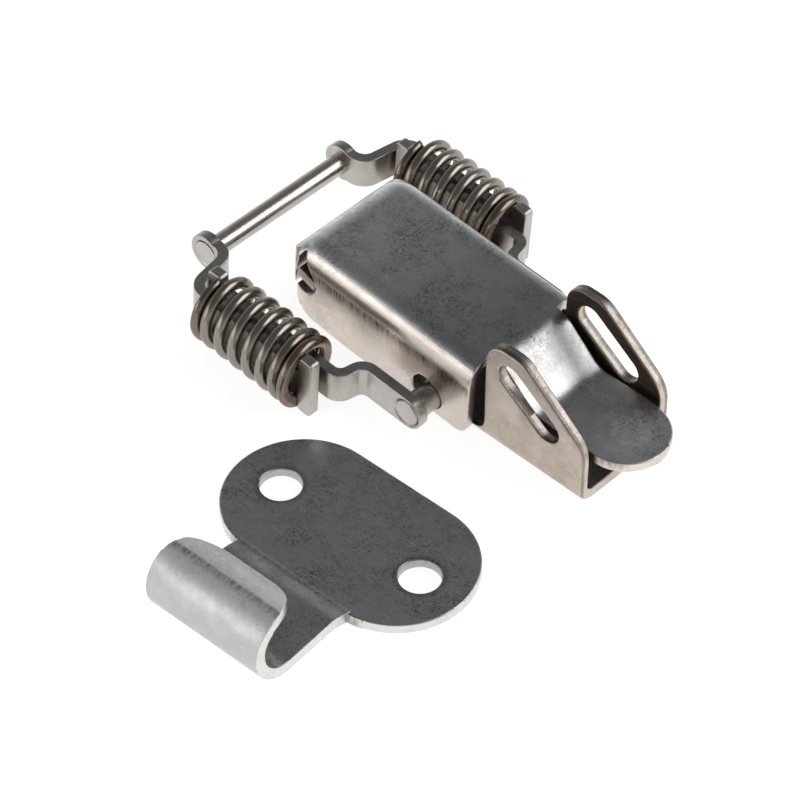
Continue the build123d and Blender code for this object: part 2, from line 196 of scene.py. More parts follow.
def tumbled_stainless(name, ease, face, lit_flank, stain_and_shade, roughness, stain_share, fleck_share,
                      rub_and_shade=None, reflection_fade=None, inward_shade=None, spots=(), torn_y=None):
    """Cold-rolled stainless sheet, tumbled with stones after folding: satin, cloudy, with crossed scratches.

    Flanks, which face sideways, are painted lighter, warmer and evener than the faces that look up: painted
    light for the bright floor that they reflect. Sharp edges are shaded as if the stones had rounded them to
    the radius in ease. The rest is optional, in the order of the arguments: the values of a line of staining,
    for rub marks and painted shade, by name; those of a painted reflection along X: its middle, how far it
    reaches, and the level in its middle and at its end; the colour of painted shade on flanks that look
    inwards; spots, each as its place, inner and outer radius and level; torn_y, how far from the middle plane
    the torn half of the sheared edges starts.
    """
    material = bpy.data.materials.new(name)
    material.use_nodes = True
    tree = material.node_tree
    tree.nodes.clear()
    coordinates = add(tree, "ShaderNodeTexCoord")
    place = coordinates.outputs["Object"]
    facing = add(tree, "ShaderNodeSeparateXYZ", links={"Vector": coordinates.outputs["Normal"]})
    where = add(tree, "ShaderNodeSeparateXYZ", links={"Vector": place})
    # Faces that look sideways take a paler, warmer, evener colour: painted light for the bright floor that
    # they reflect
    upright = add(tree, "ShaderNodeMath", {"operation": "ABSOLUTE"}, links={0: facing.outputs["Z"]})
    lit_flank_mask = add(tree, "ShaderNodeMapRange", {"interpolation_type": "SMOOTHSTEP"},
                     {"From Min": 0.89, "From Max": 0.44}, {"Value": upright.outputs["Value"]})
    clouds = add(tree, "ShaderNodeTexNoise",
                 values={"Scale": 1 / CLOUD_SIZE, "Detail": 8.0, "Roughness": 0.7}, links={"Vector": place})
    stains = add(tree, "ShaderNodeTexNoise",
                 values={"Scale": 1 / STAIN_SIZE, "Detail": 6.0, "Roughness": 0.65}, links={"Vector": place})
    flecks = add(tree, "ShaderNodeTexNoise",
                 values={"Scale": 1 / WEB_SIZE, "Detail": 3.0, "Roughness": 0.6, "Distortion": 1.2},
                 links={"Vector": place})
    grain = add(tree, "ShaderNodeTexNoise",
                values={"Scale": 1 / GRAIN_SIZE, "Detail": 3.0, "Roughness": 0.6}, links={"Vector": place})
    # The colour of the sheet: faces, and flanks painted lighter as painted light, painted shade on inward
    # faces, then stains and the line of staining and painted shade
    bare_with_painted_light = add(tree, "ShaderNodeMix", {"data_type": "RGBA"}, {"A": linear(face), "B": linear(lit_flank)},
               {"Factor": lit_flank_mask.outputs["Result"]})
    # Painted shade: flanks that look inwards, towards the middle plane, take a darker colour
    if inward_shade:
        half = add(tree, "ShaderNodeMath", {"operation": "SIGN"}, links={0: where.outputs["Y"]})
        outward = add(tree, "ShaderNodeMath", {"operation": "MULTIPLY"},
                      links={0: half.outputs["Value"], 1: facing.outputs["Y"]})
        inward_shade_mask = add(tree, "ShaderNodeMapRange", {"interpolation_type": "SMOOTHSTEP"},
                         {"From Min": -0.45, "From Max": -0.9}, {"Value": outward.outputs["Value"]})
        bare_with_painted_light = add(tree, "ShaderNodeMix", {"data_type": "RGBA"}, {"B": linear(inward_shade)},
                   {"A": bare_with_painted_light.outputs["Result"], "Factor": inward_shade_mask.outputs["Result"]})
    stain_mask = add(tree, "ShaderNodeMapRange",
                     values={"From Min": 0.45, "From Max": 0.75, "To Min": 0.0, "To Max": stain_share},
                     links={"Value": stains.outputs["Fac"]})
    stain_and_shade_share = stain_mask.outputs["Result"]
    # A line of staining, drawn for rub marks and for painted shade along folds and creases
    if rub_and_shade:
        both = add(tree, "ShaderNodeMath", {"operation": "MAXIMUM"},
                   links={0: stain_and_shade_share, 1: rub_and_shade_line(tree, place, facing, **rub_and_shade)})
        stain_and_shade_share = both.outputs["Value"]
    tinted = add(tree, "ShaderNodeMix", {"data_type": "RGBA"}, {"B": linear(stain_and_shade)},
                 {"A": bare_with_painted_light.outputs["Result"], "Factor": stain_and_shade_share})
    # Its level: clouds and a web of dark stone marks in patches, evened out on the flanks
    cloud_level = add(tree, "ShaderNodeMapRange",
                      values={"From Min": 0.3, "From Max": 0.7, "To Min": 0.78, "To Max": 1.1},
                      links={"Value": clouds.outputs["Fac"]})
    off_vein = add(tree, "ShaderNodeMath", {"operation": "SUBTRACT"}, {1: 0.5}, {0: flecks.outputs["Fac"]})
    from_vein = add(tree, "ShaderNodeMath", {"operation": "ABSOLUTE"}, links={0: off_vein.outputs["Value"]})
    web = add(tree, "ShaderNodeMapRange", {"interpolation_type": "SMOOTHSTEP"},
              {"From Min": 0.0, "From Max": 0.05, "To Min": 1.0, "To Max": 0.0},
              {"Value": from_vein.outputs["Value"]})
    patch = add(tree, "ShaderNodeMapRange",
                values={"From Min": 0.35, "From Max": 0.6, "To Min": 0.0, "To Max": -fleck_share},
                links={"Value": stains.outputs["Fac"]})
    fleck_level = add(tree, "ShaderNodeMath", {"operation": "MULTIPLY_ADD"}, {2: 1.0},
                      {0: web.outputs["Result"], 1: patch.outputs["Result"]})
    level = add(tree, "ShaderNodeMath", {"operation": "MULTIPLY"},
                links={0: cloud_level.outputs["Result"], 1: fleck_level.outputs["Value"]})
    # Painted reflection: the level is lowest at a middle along X and rises towards the ends
    if reflection_fade:
        off_fade_middle = add(tree, "ShaderNodeMath", {"operation": "SUBTRACT"}, {1: reflection_fade["middle_x"]},
                       {0: where.outputs["X"]})
        from_fade_middle = add(tree, "ShaderNodeMath", {"operation": "ABSOLUTE"},
                        links={0: off_fade_middle.outputs["Value"]})
        faded_reflection = add(tree, "ShaderNodeMapRange",
                     values={"From Min": 0.0, "From Max": reflection_fade["reach"],
                             "To Min": reflection_fade["level"], "To Max": reflection_fade["end_level"]},
                     links={"Value": from_fade_middle.outputs["Value"]})
        level = add(tree, "ShaderNodeMath", {"operation": "MULTIPLY"},
                    links={0: level.outputs["Value"], 1: faded_reflection.outputs["Result"]})
    evened = add(tree, "ShaderNodeMapRange", values={"To Max": 0.7},
                 links={"Value": lit_flank_mask.outputs["Result"]})
    even = add(tree, "ShaderNodeMix", {"data_type": "FLOAT"}, {"B": 1.0},
               {"A": level.outputs["Value"], "Factor": evened.outputs["Result"]})
    level_all = even.outputs["Result"]
    for middle, inner, outer, spot_level in spots:
        from_spot = add(tree, "ShaderNodeVectorMath", {"operation": "DISTANCE"}, {1: middle}, {0: place})
        spot = add(tree, "ShaderNodeMapRange", {"interpolation_type": "SMOOTHSTEP"},
                   {"From Min": inner, "From Max": outer, "To Min": spot_level, "To Max": 1.0},
                   {"Value": from_spot.outputs["Value"]})
        spotted = add(tree, "ShaderNodeMath", {"operation": "MULTIPLY"},
                      links={0: level_all, 1: spot.outputs["Result"]})
        level_all = spotted.outputs["Value"]
    if torn_y:
        banded = add(tree, "ShaderNodeMath", {"operation": "MULTIPLY"},
                     links={0: level_all, 1: sheared_band(tree, where, facing, flecks, torn_y)})
        level_all = banded.outputs["Value"]
    clouded = add(tree, "ShaderNodeVectorMath", {"operation": "SCALE"},
                  links={0: tinted.outputs["Result"], "Scale": level_all})
    scratched = add(tree, "ShaderNodeMix", {"data_type": "RGBA"}, {"B": linear(SCRATCH_COLOUR)},
                    {"A": clouded.outputs["Vector"], "Factor": crossed_scratches(tree, place)})
    # Its gloss and its relief
    rough = add(tree, "ShaderNodeMapRange",
                values={"From Min": 0.3, "From Max": 0.7,
                        "To Min": roughness + CLOUD_ROUGHER, "To Max": roughness - CLOUD_SMOOTHER},
                links={"Value": clouds.outputs["Fac"]})
    relief = add(tree, "ShaderNodeMath", {"operation": "MULTIPLY_ADD"}, {1: WEB_RELIEF},
                 {0: flecks.outputs["Fac"], 2: grain.outputs["Fac"]})
    eased = add(tree, "ShaderNodeBevel", {"samples": EASE_RAYS}, {"Radius": ease})
    bump = add(tree, "ShaderNodeBump", values={"Strength": 0.22, "Distance": GRAIN_DEPTH},
               links={"Height": relief.outputs["Value"], "Normal": eased.outputs["Normal"]})
    steel = add(tree, "ShaderNodeBsdfPrincipled", values={"Metallic": 1.0},
                links={"Base Color": scratched.outputs["Result"], "Roughness": rough.outputs["Result"],
                       "Normal": bump.outputs["Normal"]})
    add(tree, "ShaderNodeOutputMaterial", links={"Surface": steel.outputs["BSDF"]})
    return material


def cut_across(shape, faces, point, normal):
    """Cuts faces of a mesh along a plane and gives the edges that lie in it."""
    edges = dict.fromkeys(edge for face in faces for edge in face.edges)
    verts = dict.fromkeys(vert for face in faces for vert in face.verts)
    split = bmesh.ops.bisect_plane(shape, geom=[*verts, *edges, *faces], dist=CUT_TOLERANCE,
                                   plane_co=point, plane_no=normal)
    return [part for part in split["geom_cut"] if isinstance(part, bmesh.types.BMEdge)]


def mark_sharp(shape):
    """Shades a mesh as round over each edge that turns less than a sharp one."""
    for edge in shape.edges:
        edge.smooth = edge.calc_face_angle(0) < SHARP_TURN


def folded_faces(shape):
    """Finds the faces of a mesh that overlap themselves or lie folded back on a neighbour."""
    areas = {}
    for corners in shape.calc_loop_triangles():
        first, second, third = [corner.vert.co for corner in corners]
        face = corners[0].face
        areas[face] = areas.get(face, 0.0) + (second - first).cross(third - first).length / 2
    folded = {face for face, area in areas.items() if area - face.calc_area() > OVERLAP}
    for edge in shape.edges:
        if edge.calc_face_angle(0) > FOLDED_TURN:
            folded.update(edge.link_faces)
    return folded


def rounded_edges(shape, ease):
    """Rounds the sharp edges of a mesh, and leaves out those whose rounding would fold a face."""
    rounded = {edge.index for edge in shape.edges if edge.calc_face_angle(0) > ROUND_TURN}
    middles = {edge.index: (edge.verts[0].co + edge.verts[1].co) / 2 for edge in shape.edges}
    known = [face.calc_center_median() for face in folded_faces(shape)]
    for _ in range(EASE_TRIES):
        trial = shape.copy()
        trial.edges.ensure_lookup_table()
        bmesh.ops.bevel(trial, geom=[trial.edges[index] for index in sorted(rounded)], offset=ease,
                        segments=EASE_STEPS, profile=0.5, affect="EDGES", clamp_overlap=False)
        faults = [(face.calc_center_median(), face.normal.copy()) for face in folded_faces(trial)]
        faults = [fault for fault in faults if all((fault[0] - middle).length > ease for middle in known)]
        faults.sort(key=lambda fault: tuple(fault[0]))
        if not faults:
            return trial
        trial.free()
        for middle, normal in faults:
            if rounded:
                rounded.remove(min(rounded, key=lambda index: (middles[index] - middle).length))
            for face in shape.faces:
                apart = face.calc_center_median() - middle
                in_plane = face.normal.dot(normal) > SAME_WAY and abs(apart.dot(normal)) < ease / 2
                if in_plane and apart.length < FAULT_REACH:
                    rounded -= {edge.index for edge in face.edges}
            for vert in shape.verts:
                if (vert.co - middle).length < NEAR_EASES * ease:
                    rounded -= {edge.index for edge in vert.link_edges}
    return shape.copy()


def set_in(name, mesh, material, body, node=None):
    """Puts a mesh into the scene in its finish; it moves with a body and may stand for a node's solid."""
    mesh.materials.clear()
    mesh.materials.append(material)
    piece = bpy.data.objects.new(name, mesh)
    bpy.context.scene.collection.objects.link(piece)
    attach(piece, body)
    if node:
        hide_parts(node)
    return piece


def dressed_sheet(node, name, ease, material, body, holes, joins=()):
    """Copies a solid's mesh, clears its flat faces of needless edges, rounds its edges and sets it in.

    The mesh is cut across X at each place in holes, so that no flat face is left with a hole inside it, and
    across Y at each place in joins, so that faces which meet there share their corners.
    """
    mesh = frame["nodes"][node].data.copy()
    mesh.name = name
    shape = bmesh.new()
    shape.from_mesh(mesh)
    for place in joins:
        cut_across(shape, shape.faces[:], (0, place, 0), (0, 1, 0))
    bmesh.ops.remove_doubles(shape, verts=shape.verts, dist=SLIVER)
    for place in holes:
        for edge in cut_across(shape, shape.faces[:], (place, 0, 0), (1, 0, 0)):
            edge.seam = True
    bmesh.ops.dissolve_limit(shape, angle_limit=FLAT_TURN, verts=shape.verts, edges=shape.edges,
                             delimit={"SEAM"})
    shape.edges.index_update()
    eased = rounded_edges(shape, ease)
    shape.free()
    mark_sharp(eased)
    for face in eased.faces:
        face.smooth = True
        face.material_index = 0
    eased.to_mesh(mesh)
    eased.free()
    if "custom_normal" in mesh.attributes:
        mesh.attributes.remove(mesh.attributes["custom_normal"])
    piece = set_in(name, mesh, material, body, node)
    weighted = piece.modifiers.new("even shading", "WEIGHTED_NORMAL")
    weighted.keep_sharp = True
    return piece


# Warm grey. Its flanks, the walls among them, are painted paler as painted light, and the faces that look
# into the channel darker as painted shade. The ears' edges have a bright and a dark band.
base_steel = tumbled_stainless("tumbled stainless, base", SHEARED_EASE, face="#8f8a85", lit_flank="#c2b6ab",
                               stain_and_shade="#8c7764", roughness=0.38, stain_share=0.5, fleck_share=0.6,
                               inward_shade="#6e6258", torn_y=EAR_TORN_Y)
base = dressed_sheet("base_plate", "base_plate_sheet", SHEARED_EASE, base_steel, "base",
                     BASE_HOLES_X)
# The walls' outer faces stand a little further in than on the solid, so that the lever's flanges slide past
for vert in base.data.vertices:
    if abs(abs(vert.co.y) - WALL_OUTSIDE_Y) < WALL_PLAY / 4:
        vert.co.y -= math.copysign(WALL_PLAY, vert.co.y)
# The inside of the fold between floor and wall, along the channel's waist
fold_turn = math.acos(1 - FLOOR_TOP / FLOOR_FOLD_R)
for side, way in SIDES:
    section = [(way * FLOOR_FOLD_Y, FLOOR_TOP)]
    for step in range(FLOOR_FOLD_STEPS + 1):
        swing = fold_turn * step / FLOOR_FOLD_STEPS
        section.append((way * (FLOOR_FOLD_Y + FLOOR_FOLD_R * math.sin(swing)),
                        FLOOR_FOLD_R * (1 - math.cos(swing))))
    fold = bmesh.new()
    front = [fold.verts.new((FOLD_FRONT_X, y, z)) for y, z in section]
    rear = [fold.verts.new((FOLD_REAR_X, y, z)) for y, z in section]
    fold.faces.new(front)
    fold.faces.new(rear)
    for corner in range(len(section)):
        after = (corner + 1) % len(section)
        fold.faces.new((front[corner], front[after], rear[after], rear[corner]))
    bmesh.ops.recalc_face_normals(fold, faces=fold.faces)
    fold_mesh = bpy.data.meshes.new("floor_fold_" + side)
    fold.to_mesh(fold_mesh)
    fold.free()
    set_in("floor_fold_" + side, fold_mesh, base_steel, "base")

# Lever
# The handle: one piece of the same sheet, folded down on both sides and in front, with domed front corners.
# A strap behind drops between the ears to the thumb tongue. It turns on the base plate's two tabs.
LEVER_TILT = math.radians(4)
LEVER_HOLES_X = (-7.7 * MM,)
STRAP_SIDES_Y = (-7.7 * MM, 7.7 * MM)
FOLD_END = 2.6 * MM
# The line along the flanges' fold: partly a rub mark, partly a painted reflection of the links and springs
FOLD_RUB_AND_SHADE = 3.0 * MM
# How far the lever top's painted reflection reaches from its middle
REFLECTION_FADE_REACH = 36 * MM
# A lighter oval on the tongue's dish: a painted highlight
TONGUE_SHEEN = Vector((25.0 * MM, 1.0 * MM, 9.0 * MM))
TONGUE_SHEEN_R = 4.2 * MM
TONGUE_SHEEN_INNER_R = 0.7 * TONGUE_SHEEN_R
TONGUE_SHEEN_LEVEL = 1.35
SIDE_FOLD_Y = 8.7 * MM
SIDE_FOLD_R = 4.2 * MM
LIP_FOLD_X = 1.5 * MM
LIP_FOLD_R = 6.0 * MM
CORNER_CUTS = 8
CORNER_FOOT_Z = 4.6 * MM
CORNER_HEAD_Z = 6.4 * MM
joints = {joint["name"]: joint for joint in frame["joints"]}
pivot = Vector(joints["lever_hinge"]["pos_m"])
lever_up = Vector((math.sin(LEVER_TILT), 0, math.cos(LEVER_TILT)))
lever_along = Vector((math.cos(LEVER_TILT), 0, -math.sin(LEVER_TILT)))


def past_lip_fold(point):
    """How far in front of the start of the lip's fold a point of the lever is."""
    return LIP_FOLD_X - lever_along.dot(point - pivot)


def fold_drop(past, radius):
    """How far a fold has dropped at a distance past its start."""
    return radius - math.sqrt(max(radius ** 2 - past ** 2, 0.0))


def fold_reach(drop, radius):
    """How far past its start a fold is where it has dropped so far."""
    return math.sqrt(radius ** 2 - (radius - min(drop, radius)) ** 2)


def dome_front_corners(mesh):
    """Turns the mitre between the lip's fold and each flange's fold into a dome, which fades out lower down.

    The corner is first cut into strips, so that it can bend. Then each of its points moves level towards the
    middle of the top, to where a single round fold would have dropped as far.
    """
    shape = bmesh.new()
    shape.from_mesh(mesh)
    for cut in range(CORNER_CUTS):
        share = cut / CORNER_CUTS
        planes = [(pivot + lever_along * (LIP_FOLD_X - share * LIP_FOLD_R), lever_along)]
        for _, way in SIDES:
            planes.append((Vector((0, way * (SIDE_FOLD_Y + share * SIDE_FOLD_R), 0)), Vector((0, 1, 0))))
        for point, normal in planes:
            near = [face for face in shape.faces if any(past_lip_fold(vert.co) > 0 for vert in face.verts)]
            cut_across(shape, near, point, normal)
    corner_faces = []
    for face in shape.faces:
        if any(abs(vert.co.y) > SIDE_FOLD_Y and past_lip_fold(vert.co) > 0 for vert in face.verts):
            corner_faces.append(face)
    bmesh.ops.triangulate(shape, faces=corner_faces)
    for vert in shape.verts:
        past_side = abs(vert.co.y) - SIDE_FOLD_Y
        past_lip = past_lip_fold(vert.co)
        if past_side > SLIVER and past_lip > SLIVER:
            drop = max(fold_drop(past_side, SIDE_FOLD_R), fold_drop(past_lip, LIP_FOLD_R))
            spread = math.hypot(past_side / fold_reach(drop, SIDE_FOLD_R),
                                past_lip / fold_reach(drop, LIP_FOLD_R))
            height = lever_up.dot(vert.co - pivot)
            strength = min(max((height - CORNER_FOOT_Z) / (CORNER_HEAD_Z - CORNER_FOOT_Z), 0.0), 1.0)
            inward = strength * (1 - 1 / spread)
            vert.co += lever_along * inward * past_lip
            vert.co.y -= math.copysign(inward * past_side, vert.co.y)
    mark_sharp(shape)
    shape.to_mesh(mesh)
    shape.free()


# Cool satin grey on top, with a painted reflection: darker in the middle and brighter towards the ends.
# Flanges painted warm and pale as painted light, their inner faces darker as painted shade.
# A brown streaked line along each flange's fold is partly a rub mark, partly painted reflection; a painted
# highlight lightens the tongue's dish.
lever_steel = tumbled_stainless("tumbled stainless, lever", SHEARED_EASE, face="#b2b4b6", lit_flank="#d8cec6",
                                stain_and_shade="#66503f", roughness=0.3, stain_share=0.15, fleck_share=0.65,
                                rub_and_shade={"way": lever_up, "line": lever_up.dot(pivot) + FOLD_END,
                                       "reach": FOLD_RUB_AND_SHADE, "strength": 1.0, "flanks_only": True},
                                reflection_fade={"middle_x": 0.0, "reach": REFLECTION_FADE_REACH, "level": 0.75, "end_level": 1.4},
                                inward_shade="#6e6258",
                                spots=[(TONGUE_SHEEN, TONGUE_SHEEN_INNER_R, TONGUE_SHEEN_R, TONGUE_SHEEN_LEVEL)])
lever = dressed_sheet("lever", "lever_sheet", SHEARED_EASE, lever_steel, "lever",
                      LEVER_HOLES_X, STRAP_SIDES_Y)
dome_front_corners(lever.data)

# Rivets of the draw loop
# Two turned stainless rivets that hang the draw loop on the lever. The head sits inside the lever's flange,
# and the end is peened flush in the link's eye.
RIVET_SHANK_R = 2.4 * MM
RIVET_HEAD_R = 2.9 * MM
RIVET_HEAD_Y = 9.6 * MM
RIVET_HEAD_T = 1.2 * MM
RIVET_END_Y = 18.5 * MM
RIVET_END_ROUND = 0.3 * MM
ROUND_STEPS = 4
TURNED_SIDES = 64
rivet_axis = Vector(joints["loop_hinge"]["pos_m"])


def rounded_end(radius, end, ease, way):
    """The profile of a turned end: a quarter round, then the flat face closed to the axis."""
    points = []
    for step in range(ROUND_STEPS + 1):
        swing = math.pi / 2 * step / ROUND_STEPS
        points.append((radius - ease + ease * math.cos(swing),
                       end - way * ease + way * ease * math.sin(swing)))
    return points + [(0.0, end)]


def turned_piece(node, name, profile, axis, material, body):
    """Turns a profile of radius and place along Y about an axis across the latch, and sets the piece in."""
    shape = bmesh.new()
    rings = []
    for radius, along in profile:
        if radius == 0.0:
            rings.append([shape.verts.new((axis.x, along, axis.z))])
            continue
        ring = []
        for corner in range(TURNED_SIDES):
            swing = 2 * math.pi * corner / TURNED_SIDES
            x = axis.x + radius * math.cos(swing)
            z = axis.z + radius * math.sin(swing)
            ring.append(shape.verts.new((x, along, z)))
        rings.append(ring)
    for one, two in zip(rings, rings[1:]):
        for corner in range(TURNED_SIDES):
            after = (corner + 1) % TURNED_SIDES
            if len(one) == 1:
                shape.faces.new((one[0], two[corner], two[after]))
            elif len(two) == 1:
                shape.faces.new((one[corner], one[after], two[0]))
            else:
                shape.faces.new((one[corner], one[after], two[after], two[corner]))
    bmesh.ops.recalc_face_normals(shape, faces=shape.faces)
    for face in shape.faces:
        face.smooth = True
    mark_sharp(shape)
    mesh = bpy.data.meshes.new(name)
    shape.to_mesh(mesh)
    shape.free()
    set_in(name, mesh, material, body, node)


# Even, lightly stained grey; the flanks painted paler as painted light
rivet_steel = tumbled_stainless("turned stainless, rivets", RIVET_END_ROUND, face="#a8a5a2", lit_flank="#bdb8b2",
                                stain_and_shade="#857a70", roughness=0.3, stain_share=0.3, fleck_share=0.3)
for side, way in SIDES:
    head_top = way * RIVET_HEAD_Y
    head_foot = way * (RIVET_HEAD_Y + RIVET_HEAD_T)
    rivet_profile = [(0.0, head_top), (RIVET_HEAD_R, head_top), (RIVET_HEAD_R, head_foot)]
    rivet_profile += [(RIVET_SHANK_R, head_foot)]
    rivet_profile += rounded_end(RIVET_SHANK_R, way * RIVET_END_Y, RIVET_END_ROUND, way)
    turned_piece("link_rivet_" + side, "rivet_" + side, rivet_profile, rivet_axis, rivet_steel, "loop")

# Links of the draw loop
# Four blanked stainless strips, 2 mm thick, joggled outwards, with a T-head that holds the spring.
# The lever links hang on the rivets, the bar links carry the bar, and each pair passes inside a spring.
LINK_EASE = 0.22 * MM
LEVER_LINK_HOLES_X = (-7.0 * MM,)
BAR_LINK_HOLES_X = (-55.7 * MM,)
# Neutral satin grey with few stains; the flanks painted paler as painted light
link_steel = tumbled_stainless("tumbled stainless, links", LINK_EASE, face="#a4a4a4", lit_flank="#bab5b0",
                               stain_and_shade="#8a7c70", roughness=0.32, stain_share=0.3, fleck_share=0.3)
for side, _ in SIDES:
    dressed_sheet("lever_link_" + side, "lever_link_strip_" + side, LINK_EASE, link_steel, "loop",
                  LEVER_LINK_HOLES_X)
    dressed_sheet("bar_link_" + side, "bar_link_strip_" + side, LINK_EASE, link_steel, "draw",
                  BAR_LINK_HOLES_X)

# Springs
# Two compression springs of 2.1 mm stainless spring wire, the end turns closed and ground flat.
# Each sits between two T-heads and is pressed shorter when the bar is drawn out.
SPRING_WIRE = 2.1 * MM
SPRING_OUTSIDE = 13.3 * MM
SPRING_START = 16.9 * MM
SPRING_LENGTH = 21.6 * MM
SPRING_Y = 24.2 * MM
SPRING_LIFT = 0.33 * MM
CLOSED_PITCH = 2.15 * MM
REAR_CLOSED_TURNS = 1.5
ACTIVE_TURNS = 5
FRONT_CLOSED_TURNS = 1
STEPS_PER_TURN = 56
WIRE_SIDES = 20
TINT_CLOUD_SIZE = 3 * MM
WIRE_GRAIN_SIZE = 0.15 * MM
WIRE_GRAIN_DEPTH = 0.02 * MM
draw_way = Vector(joints["draw_slide"]["axis"]).normalized()
across = Vector((0, 1, 0))
lift = across.cross(draw_way)


def spring_wire_steel(name):
    """Drawn stainless spring wire: smooth and bright, with a fine grain and a brown heat tint.

    The tint is strongest on the end turns. The grain is drawn as coarse as it needs to show.
    """
    material = bpy.data.materials.new(name)
    material.use_nodes = True
    tree = material.node_tree
    tree.nodes.clear()
    place = add(tree, "ShaderNodeTexCoord").outputs["Object"]
    where = add(tree, "ShaderNodeSeparateXYZ", links={"Vector": place})
    middle_x = rivet_axis.x + draw_way.x * (SPRING_START + SPRING_LENGTH / 2)
    off_middle = add(tree, "ShaderNodeMath", {"operation": "SUBTRACT"}, {1: middle_x},
                     {0: where.outputs["X"]})
    from_middle = add(tree, "ShaderNodeMath", {"operation": "ABSOLUTE"},
                      links={0: off_middle.outputs["Value"]})
    end_turns = add(tree, "ShaderNodeMapRange", {"interpolation_type": "SMOOTHSTEP"},
                    {"From Min": 0.3 * SPRING_LENGTH, "From Max": 0.5 * SPRING_LENGTH,
                     "To Min": 0.1, "To Max": 1.0},
                    {"Value": from_middle.outputs["Value"]})
    clouds = add(tree, "ShaderNodeTexNoise",
                 values={"Scale": 1 / TINT_CLOUD_SIZE, "Detail": 5.0, "Roughness": 0.6},
                 links={"Vector": place})
    tint = add(tree, "ShaderNodeMath", {"operation": "MULTIPLY"},
               links={0: end_turns.outputs["Result"], 1: clouds.outputs["Fac"]})
    colour = add(tree, "ShaderNodeMix", {"data_type": "RGBA"},
                 {"A": linear("#8f8a82"), "B": linear("#5c4129")}, {"Factor": tint.outputs["Value"]})
    rough = add(tree, "ShaderNodeMapRange",
                values={"From Min": 0.3, "From Max": 0.7, "To Min": 0.28, "To Max": 0.16},
                links={"Value": clouds.outputs["Fac"]})
    grain = add(tree, "ShaderNodeTexNoise", values={"Scale": 1 / WIRE_GRAIN_SIZE, "Detail": 2.0},
                links={"Vector": place})
    bump = add(tree, "ShaderNodeBump", values={"Strength": 0.1, "Distance": WIRE_GRAIN_DEPTH},
               links={"Height": grain.outputs["Fac"]})
    steel = add(tree, "ShaderNodeBsdfPrincipled", values={"Metallic": 1.0},
                links={"Base Color": colour.outputs["Result"], "Roughness": rough.outputs["Result"],
                       "Normal": bump.outputs["Normal"]})
    add(tree, "ShaderNodeOutputMaterial", links={"Surface": steel.outputs["BSDF"]})
    return material


def wire_advance(turn):
    """How far along its axis the wire has come after so many turns: slow in the closed end turns."""
    closed_turns = REAR_CLOSED_TURNS + FRONT_CLOSED_TURNS
    active_pitch = (SPRING_LENGTH - closed_turns * CLOSED_PITCH) / ACTIVE_TURNS
    active = min(max(turn - REAR_CLOSED_TURNS, 0.0), ACTIVE_TURNS)
    return (turn - active) * CLOSED_PITCH + active * active_pitch


def spring_mesh(name, way):
    """A round wire wound along one side of the loop, cut flat at both ends; both have the same hand."""
    coil_r = (SPRING_OUTSIDE - SPRING_WIRE) / 2
    centre = rivet_axis + across * way * SPRING_Y + lift * SPRING_LIFT + draw_way * SPRING_START
    count = round((REAR_CLOSED_TURNS + ACTIVE_TURNS + FRONT_CLOSED_TURNS) * STEPS_PER_TURN)
    shape = bmesh.new()
    rings = []
    for step in range(count + 1):
        turn = step / STEPS_PER_TURN
        angle = 2 * math.pi * turn
        outward = -lift * math.cos(angle) - across * math.sin(angle)
        along = wire_advance(turn)
        ring = []
        for corner in range(WIRE_SIDES):
            swing = 2 * math.pi * corner / WIRE_SIDES
            radius = coil_r + SPRING_WIRE / 2 * math.cos(swing)
            reach = along + SPRING_WIRE / 2 * math.sin(swing)
            reach = min(max(reach, 0.0), SPRING_LENGTH)
            ring.append(shape.verts.new(centre + outward * radius + draw_way * reach))
        rings.append(ring)
    for one, two in zip(rings, rings[1:]):
        for corner in range(WIRE_SIDES):
            after = (corner + 1) % WIRE_SIDES
            shape.faces.new((one[corner], one[after], two[after], two[corner]))
    ends = [shape.faces.new(rings[0]), shape.faces.new(rings[-1])]
    bmesh.ops.recalc_face_normals(shape, faces=shape.faces)
    for face in shape.faces:
        face.smooth = face not in ends
    mesh = bpy.data.meshes.new(name)
    shape.to_mesh(mesh)
    shape.free()
    return mesh


wire_steel = spring_wire_steel("drawn stainless spring wire")
for side, way in SIDES:
    coil = spring_mesh("spring_wire_" + side, way)
    spring = set_in("spring_wire_" + side, coil, wire_steel, "loop", "spring_" + side)
    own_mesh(spring)

# Draw bar
# The bar that hooks into the catch: bright drawn stainless rod, turned down to a shoulder at both ends.
# Its ends are riveted flush in the eyes of the bar links.
BAR_REACH = 48.8 * MM
BAR_R = 1.9 * MM
BAR_TENON_R = 1.5 * MM
BAR_UPSET_R = 2.4 * MM
BAR_UPSET_Y = 16.3 * MM
BAR_SHOULDER_Y = 15.2 * MM
BAR_END_Y = 17.2 * MM
BAR_EASE = 0.1 * MM
# Smoother and brighter than the sheet; the flanks painted a touch paler as painted light
bar_steel = tumbled_stainless("drawn stainless bar", BAR_EASE, face="#bcb6b0", lit_flank="#bdb9b4",
                              stain_and_shade="#8e8478", roughness=0.22, stain_share=0.2, fleck_share=0.2)
bar_half = [(BAR_R, BAR_SHOULDER_Y), (BAR_TENON_R, BAR_SHOULDER_Y), (BAR_TENON_R, BAR_UPSET_Y)]
bar_half += [(BAR_UPSET_R, BAR_END_Y), (0.0, BAR_END_Y)]
bar_profile = [(radius, -along) for radius, along in reversed(bar_half)] + bar_half
bar_axis = rivet_axis + draw_way * BAR_REACH
turned_piece("draw_bar", "draw_bar_rod", bar_profile, bar_axis, bar_steel, "draw")

# Catch plate
# The loose half of the set, screwed to the lid: one piece of 2 mm stainless sheet with two screw holes.
# A strip of it is rolled over into the hook that takes the bar.
CATCH_TURN = math.radians(2.5)
CATCH_HOLES_X = (-12.6 * MM, 17.4 * MM)
HOLE_MIDDLES = (Vector((17.39 * MM, -40.55 * MM, 2 * MM)), Vector((-12.59 * MM, -41.85 * MM, 2 * MM)))
HOLE_R = 3.5 * MM
